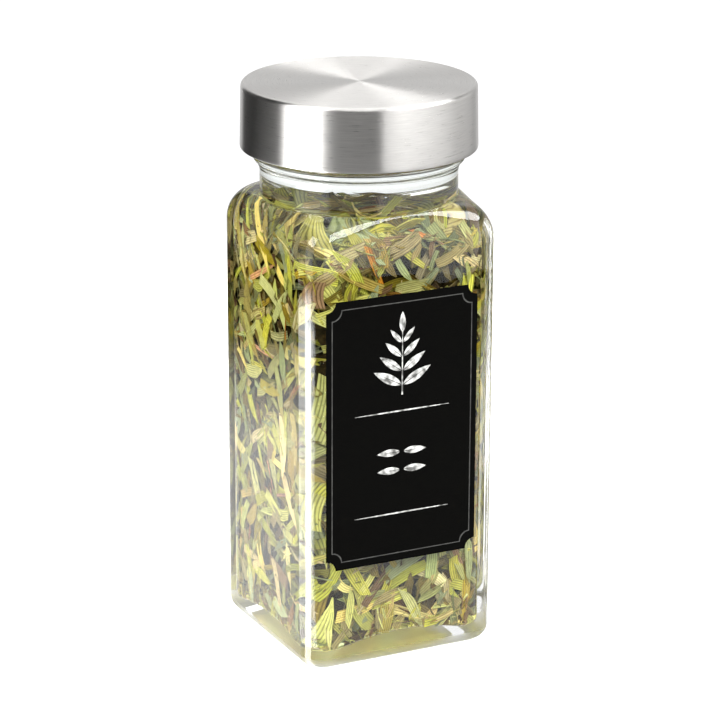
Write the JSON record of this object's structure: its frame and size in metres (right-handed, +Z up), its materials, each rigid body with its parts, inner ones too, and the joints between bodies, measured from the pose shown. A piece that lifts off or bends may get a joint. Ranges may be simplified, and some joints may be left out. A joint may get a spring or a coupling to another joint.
{
  "type": "square glass spice jar of dried tarragon with a screw cap",
  "caption": "Square clear-glass spice jar of cut dried tarragon with a round brushed steel screw cap that unscrews, and a black paper label.",
  "frame": {"origin": "middle of the jar's footprint, on the surface it stands on", "axes": "+Z up along the jar and the cap's screw axis; the label faces -Y"},
  "size_m": [0.05, 0.05, 0.1215],
  "materials": {
    "clear_glass": "clear moulded glass, smooth, with a slightly wavy inner wall",
    "brushed_steel": "brushed stainless steel, in circles on the top and round the side",
    "white_plastic": "moulded matte plastic",
    "liner_foam": "smooth white sealing foam",
    "black_paper": "matte black printed paper with a thin grey border line",
    "dried_leaf": "dry cut leaf, matte, yellow-green to straw"
  },
  "bodies": {
    "jar": {"glass_jar": "clear_glass", "front_label": "black_paper", "tarragon_fill": "dried_leaf"},
    "liner": {"cap_liner": "liner_foam"},
    "cap": {"cap_shell": "brushed_steel", "cap_insert": "white_plastic"}
  },
  "joints": [
    {"name": "cap_rise", "type": "slide", "parent": "jar", "child": "liner", "axis": [0, 0, 1], "range_m": [0, 0.00423]},
    {"name": "cap_turn", "type": "hinge", "parent": "liner", "child": "cap", "pos_m": [0, 0, 0.1147], "axis": [0, 0, 1], "range_deg": [0, 360]}
  ],
  "couplings": [
    {"joint": "cap_rise", "follows": "cap_turn", "m_per_rad": 0.00067377}
  ]
}
